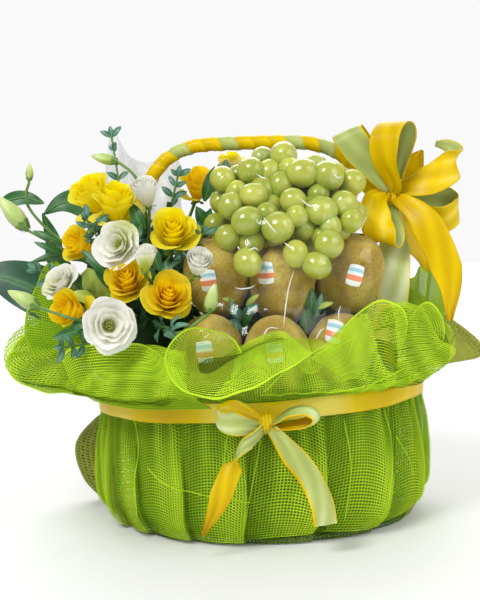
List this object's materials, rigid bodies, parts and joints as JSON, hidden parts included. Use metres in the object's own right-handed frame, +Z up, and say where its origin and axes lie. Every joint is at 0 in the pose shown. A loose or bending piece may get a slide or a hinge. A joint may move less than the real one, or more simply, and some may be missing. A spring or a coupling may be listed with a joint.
{
  "type": "fruit and flower gift basket",
  "caption": "Oval wicker basket with an arched ribbon-wrapped handle, wrapped in gathered net, filled with kiwis, green grapes, yellow roses, white blooms and leaves.",
  "frame": {"origin": "middle of the tub's flat underside, on the surface it stands on", "axes": "+Z up, -Y towards the front where the fruit and the waist bow are, +X to the viewer's right, where the handle's bow is"},
  "size_m": [0.4719, 0.3237, 0.3551],
  "materials": {
    "wicker": "woven willow strips, dull varnish",
    "gold_satin": "satin ribbon, bright along its folds",
    "sage_satin": "pale green face of the satin ribbon",
    "lime_mesh": "open net of flat synthetic threads",
    "olive_mesh": "open net, duller than the front sheet",
    "kiwi_skin": "thin brown skin with short fuzz",
    "grape_skin": "clear green skin, soft bloom",
    "rose_petal": "soft velvety petals",
    "white_petal": "thin white petals, green-yellow at the heart",
    "bud_green": "smooth closed buds on thin stems",
    "leaf": "waxy leaf with a pale midrib",
    "foliage": "packed small leaves and stems",
    "tissue": "thin crumpled film"
  },
  "bodies": {
    "root": {"basket_tub": "wicker", "handle": "gold_satin", "mesh_front": "lime_mesh", "mesh_back": "olive_mesh", "waist_ribbon": "gold_satin", "front_bow_knot": "gold_satin", "front_bow_loop_left": "sage_satin", "front_bow_loop_right": "sage_satin", "front_bow_tail_left": "sage_satin", "front_bow_tail_right": "sage_satin", "handle_bow_knot": "gold_satin", "handle_bow_loop_sage": "sage_satin", "handle_bow_loop_gold": "gold_satin", "handle_bow_loop_low": "gold_satin", "handle_bow_curl": "gold_satin", "handle_bow_point": "gold_satin", "handle_bow_loop_side": "gold_satin", "handle_bow_tail_gold": "gold_satin", "handle_bow_tail_sage": "sage_satin", "handle_bow_tail_thin": "gold_satin", "grapes": "grape_skin", "tissue": "tissue", "greenery": "foliage", "kiwi_1": "kiwi_skin", "kiwi_2": "kiwi_skin", "kiwi_3": "kiwi_skin", "kiwi_4": "kiwi_skin", "kiwi_5": "kiwi_skin", "kiwi_6": "kiwi_skin", "rose_1": "rose_petal", "rose_2": "rose_petal", "rose_3": "rose_petal", "rose_4": "rose_petal", "rose_5": "rose_petal", "rose_6": "rose_petal", "rose_7": "rose_petal", "rose_8": "rose_petal", "rose_9": "rose_petal", "lisianthus_open_1": "white_petal", "lisianthus_open_2": "white_petal", "lisianthus_open_3": "white_petal", "lisianthus_closed_1": "white_petal", "lisianthus_closed_2": "white_petal", "lisianthus_closed_3": "white_petal", "bud_1": "bud_green", "bud_2": "bud_green", "bud_3": "bud_green", "bud_4": "bud_green", "bud_5": "bud_green", "broad_leaf_1": "leaf", "broad_leaf_2": "leaf", "broad_leaf_3": "leaf", "broad_leaf_4": "leaf", "broad_leaf_5": "leaf"}
  },
  "joints": []
}
